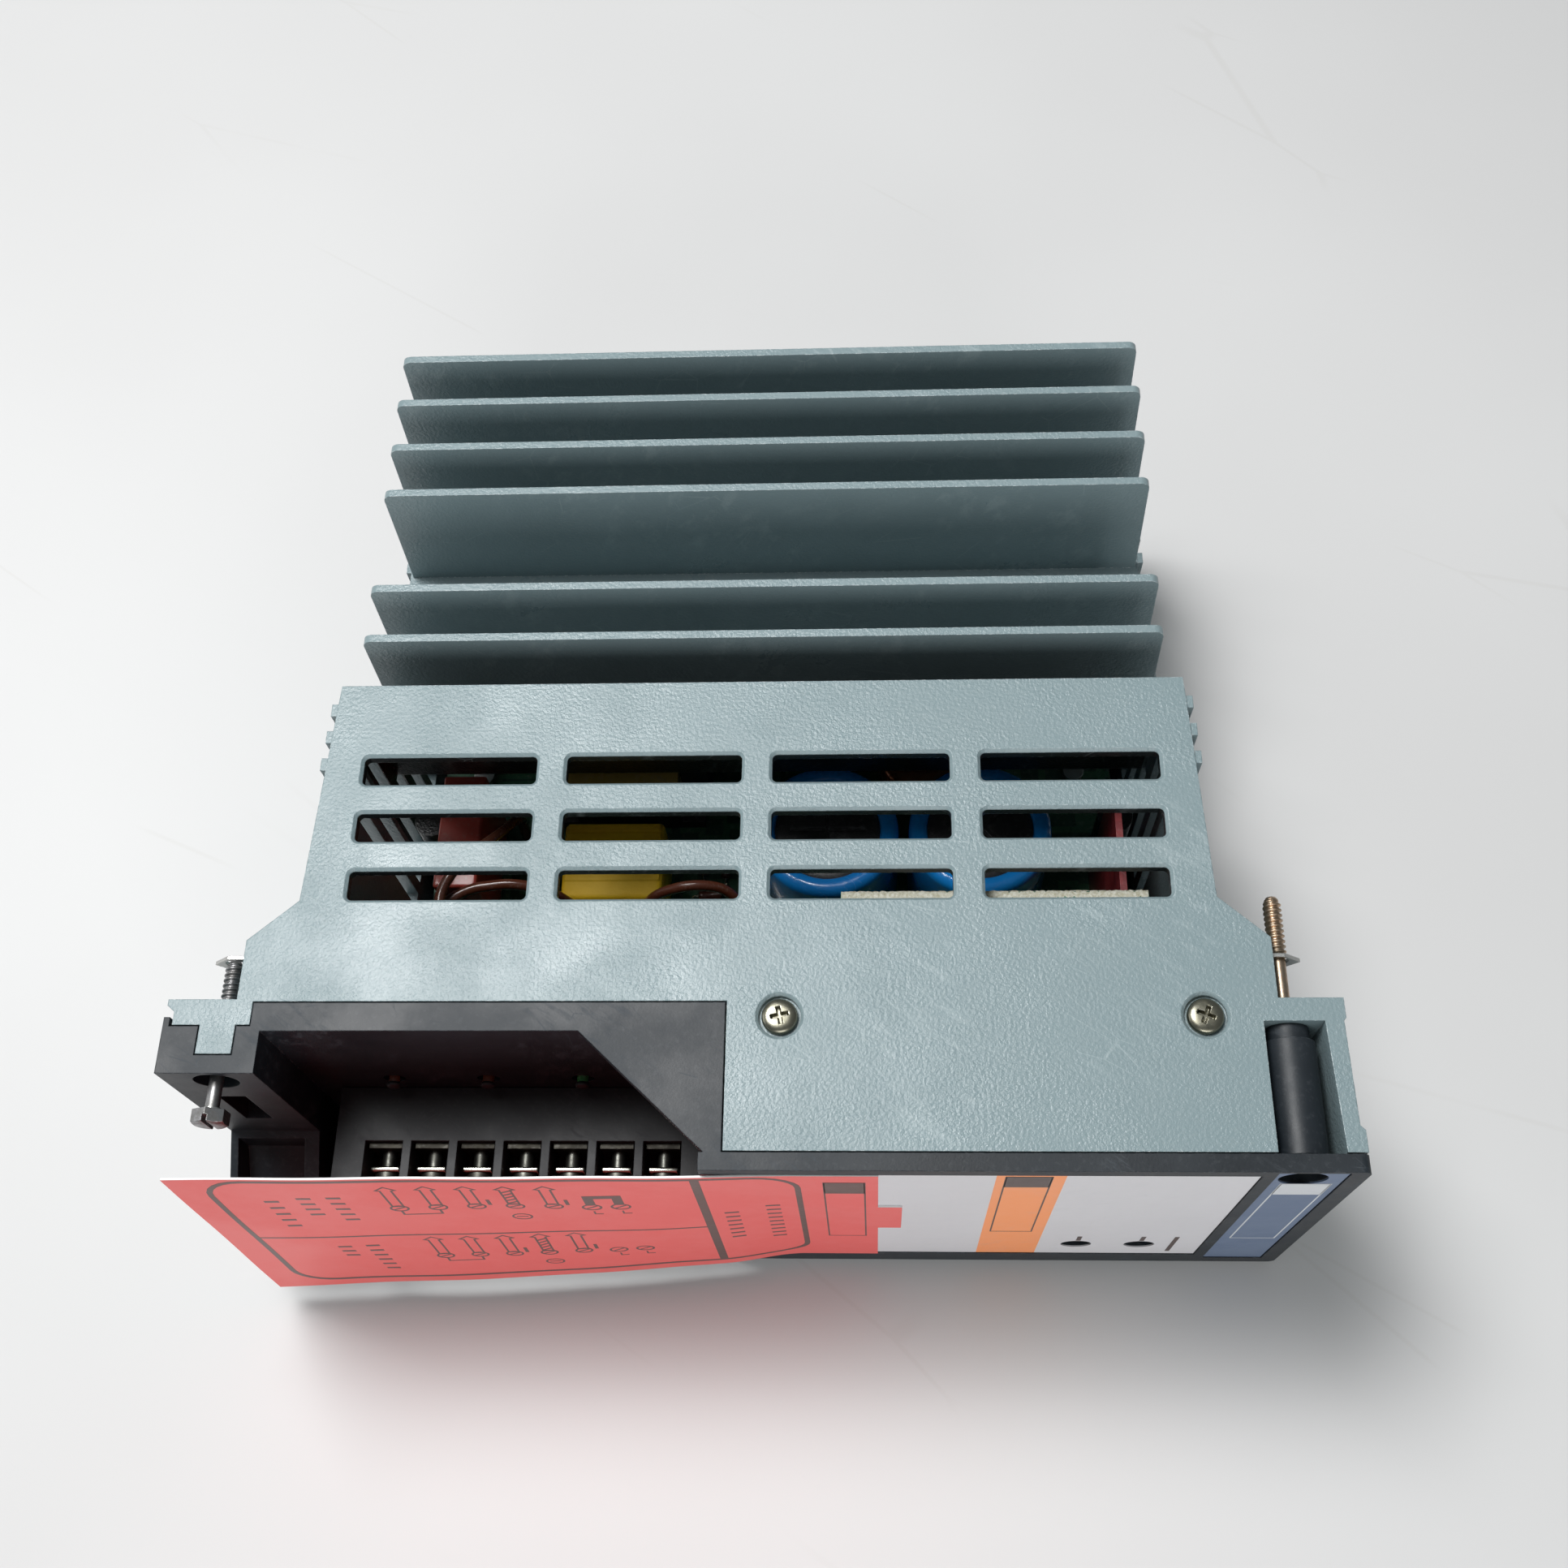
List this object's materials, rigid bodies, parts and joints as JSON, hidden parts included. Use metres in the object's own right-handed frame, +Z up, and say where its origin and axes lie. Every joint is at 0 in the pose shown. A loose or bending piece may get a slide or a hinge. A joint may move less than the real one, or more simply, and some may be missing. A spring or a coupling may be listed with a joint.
{
  "type": "rack power supply module",
  "caption": "Finned die-cast power supply module for a controller rack, with screw terminals behind a hinged warning card and captive mounting screws.",
  "frame": {"origin": "on the rest face, under the middle of the flanges' seating plane", "axes": "+X towards the module's upper end, +Y towards the rear fins, +Z up as the module lies on its side cover"},
  "size_m": [0.2516, 0.2209, 0.0966],
  "materials": {
    "cast_grey": "light blue-grey textured paint on die-cast aluminium",
    "sheet_grey": "light grey paint on sheet",
    "zinc_steel": "bright zinc",
    "yellow_zinc": "yellow passivated zinc, worn",
    "black_moulding": "fine texture, scuffed",
    "terminal_plastic": "fine texture",
    "printed_foil": "satin printed polyester",
    "blue_plate": "satin printed polyester",
    "red_card": "satin printed card with a white edge",
    "tinned_brass": "tinned",
    "nickel_steel": "nickel plated",
    "green_laminate": "solder mask",
    "red_laminate": "paper laminate",
    "chip_epoxy": "moulded epoxy",
    "can_top": "dark disc",
    "blue_sleeve": "shrink sleeve",
    "yellow_tape": "polyester tape",
    "red_case": "moulded case",
    "ferrite": "sintered",
    "winding_tape": "polyester tape over copper",
    "bobbin_plastic": "moulded",
    "choke_winding": "enamelled copper",
    "small_sleeve": "shrink sleeve",
    "insulator_film": "mica sheet",
    "fuse_glass": "clear tube",
    "lamp_lens": "tinted lens, unlit",
    "connector_plastic": "moulded",
    "brown_pvc": "wire insulation",
    "green_pvc": "wire insulation"
  },
  "bodies": {
    "module": {"casing": "cast_grey", "side_cover": "sheet_grey", "side_cover_screws": "zinc_steel", "front_moulding": "black_moulding", "case_screws": "yellow_zinc", "screw_guide_sleeve": "black_moulding", "front_foil": "printed_foil", "name_plate": "blue_plate", "warning_card_tail": "red_card", "screw_clip_top": "zinc_steel", "screw_clip_bottom": "zinc_steel", "terminal_block": "terminal_plastic", "terminal_tags": "tinned_brass", "main_board": "green_laminate", "board_pillars": "zinc_steel", "board_screws": "zinc_steel", "control_board": "green_laminate", "control_chips": "chip_epoxy", "output_board": "red_laminate", "reservoir_capacitors": "can_top", "capacitor_sleeves": "blue_sleeve", "film_capacitor": "yellow_tape", "suppression_capacitor": "red_case", "transformer_core": "ferrite", "transformer_winding": "winding_tape", "transformer_bobbin": "bobbin_plastic", "output_choke": "choke_winding", "output_capacitors": "small_sleeve", "transistor_insulators": "insulator_film", "power_transistors": "chip_epoxy", "transistor_screws": "zinc_steel", "bridge_rectifier": "chip_epoxy", "mains_fuse": "fuse_glass", "fuse_clips": "tinned_brass", "lamp_board": "green_laminate", "status_lamps": "lamp_lens", "backplane_connector": "connector_plastic", "connector_pins": "tinned_brass", "line_wire": "brown_pvc", "neutral_wire": "brown_pvc", "earth_wire": "green_pvc"},
    "warning_flap": {"warning_flap": "red_card"},
    "screw_collar_top": {"screw_collar_top": "zinc_steel"},
    "mounting_screw_top": {"mounting_screw_top": "yellow_zinc"},
    "screw_collar_bottom": {"screw_collar_bottom": "zinc_steel"},
    "mounting_screw_bottom": {"mounting_screw_bottom": "yellow_zinc"},
    "terminal_clamp_1": {"terminal_clamp_1": "tinned_brass"},
    "terminal_screw_1": {"terminal_screw_1": "nickel_steel"},
    "terminal_clamp_2": {"terminal_clamp_2": "tinned_brass"},
    "terminal_screw_2": {"terminal_screw_2": "nickel_steel"},
    "terminal_clamp_3": {"terminal_clamp_3": "tinned_brass"},
    "terminal_screw_3": {"terminal_screw_3": "nickel_steel"},
    "terminal_clamp_4": {"terminal_clamp_4": "tinned_brass"},
    "terminal_screw_4": {"terminal_screw_4": "nickel_steel"},
    "terminal_clamp_5": {"terminal_clamp_5": "tinned_brass"},
    "terminal_screw_5": {"terminal_screw_5": "nickel_steel"},
    "terminal_clamp_6": {"terminal_clamp_6": "tinned_brass"},
    "terminal_screw_6": {"terminal_screw_6": "nickel_steel"},
    "terminal_clamp_7": {"terminal_clamp_7": "tinned_brass"},
    "terminal_screw_7": {"terminal_screw_7": "nickel_steel"}
  },
  "joints": [
    {"name": "flap_hinge", "type": "hinge", "parent": "module", "child": "warning_flap", "pos_m": [0.01, -0.03695, 0.0506], "axis": [0, 0, 1], "range_deg": [0, 160]},
    {"name": "mounting_screw_top_slide", "type": "slide", "parent": "module", "child": "screw_collar_top", "axis": [0, -1, 0], "range_m": [0, 0.014]},
    {"name": "mounting_screw_top_turn", "type": "hinge", "parent": "screw_collar_top", "child": "mounting_screw_top", "pos_m": [0.1139, 0, 0.09], "axis": [0, -1, 0], "continuous": true},
    {"name": "mounting_screw_bottom_slide", "type": "slide", "parent": "module", "child": "screw_collar_bottom", "axis": [0, 1, 0], "range_m": [0, 0.014]},
    {"name": "mounting_screw_bottom_turn", "type": "hinge", "parent": "screw_collar_bottom", "child": "mounting_screw_bottom", "pos_m": [-0.1139, 0, 0.09], "axis": [0, -1, 0], "continuous": true},
    {"name": "terminal_1_lift", "type": "slide", "parent": "module", "child": "terminal_clamp_1", "axis": [0, -1, 0], "range_m": [-0.0021, 0]},
    {"name": "terminal_1_turn", "type": "hinge", "parent": "terminal_clamp_1", "child": "terminal_screw_1", "pos_m": [-0.08678, -0.028, 0.0464], "axis": [0, -1, 0], "range_deg": [-1080, 0]},
    {"name": "terminal_2_lift", "type": "slide", "parent": "module", "child": "terminal_clamp_2", "axis": [0, -1, 0], "range_m": [-0.0021, 0]},
    {"name": "terminal_2_turn", "type": "hinge", "parent": "terminal_clamp_2", "child": "terminal_screw_2", "pos_m": [-0.07594, -0.028, 0.0464], "axis": [0, -1, 0], "range_deg": [-1080, 0]},
    {"name": "terminal_3_lift", "type": "slide", "parent": "module", "child": "terminal_clamp_3", "axis": [0, -1, 0], "range_m": [-0.0021, 0]},
    {"name": "terminal_3_turn", "type": "hinge", "parent": "terminal_clamp_3", "child": "terminal_screw_3", "pos_m": [-0.0651, -0.028, 0.0464], "axis": [0, -1, 0], "range_deg": [-1080, 0]},
    {"name": "terminal_4_lift", "type": "slide", "parent": "module", "child": "terminal_clamp_4", "axis": [0, -1, 0], "range_m": [-0.0021, 0]},
    {"name": "terminal_4_turn", "type": "hinge", "parent": "terminal_clamp_4", "child": "terminal_screw_4", "pos_m": [-0.05426, -0.028, 0.0464], "axis": [0, -1, 0], "range_deg": [-1080, 0]},
    {"name": "terminal_5_lift", "type": "slide", "parent": "module", "child": "terminal_clamp_5", "axis": [0, -1, 0], "range_m": [-0.0021, 0]},
    {"name": "terminal_5_turn", "type": "hinge", "parent": "terminal_clamp_5", "child": "terminal_screw_5", "pos_m": [-0.04342, -0.028, 0.0464], "axis": [0, -1, 0], "range_deg": [-1080, 0]},
    {"name": "terminal_6_lift", "type": "slide", "parent": "module", "child": "terminal_clamp_6", "axis": [0, -1, 0], "range_m": [-0.0021, 0]},
    {"name": "terminal_6_turn", "type": "hinge", "parent": "terminal_clamp_6", "child": "terminal_screw_6", "pos_m": [-0.03258, -0.028, 0.0464], "axis": [0, -1, 0], "range_deg": [-1080, 0]},
    {"name": "terminal_7_lift", "type": "slide", "parent": "module", "child": "terminal_clamp_7", "axis": [0, -1, 0], "range_m": [-0.0021, 0]},
    {"name": "terminal_7_turn", "type": "hinge", "parent": "terminal_clamp_7", "child": "terminal_screw_7", "pos_m": [-0.02174, -0.028, 0.0464], "axis": [0, -1, 0], "range_deg": [-1080, 0]}
  ],
  "couplings": [
    {"joint": "terminal_1_turn", "follows": "terminal_1_lift", "rad_per_m": 8976},
    {"joint": "terminal_2_turn", "follows": "terminal_2_lift", "rad_per_m": 8976},
    {"joint": "terminal_3_turn", "follows": "terminal_3_lift", "rad_per_m": 8976},
    {"joint": "terminal_4_turn", "follows": "terminal_4_lift", "rad_per_m": 8976},
    {"joint": "terminal_5_turn", "follows": "terminal_5_lift", "rad_per_m": 8976},
    {"joint": "terminal_6_turn", "follows": "terminal_6_lift", "rad_per_m": 8976},
    {"joint": "terminal_7_turn", "follows": "terminal_7_lift", "rad_per_m": 8976}
  ]
}
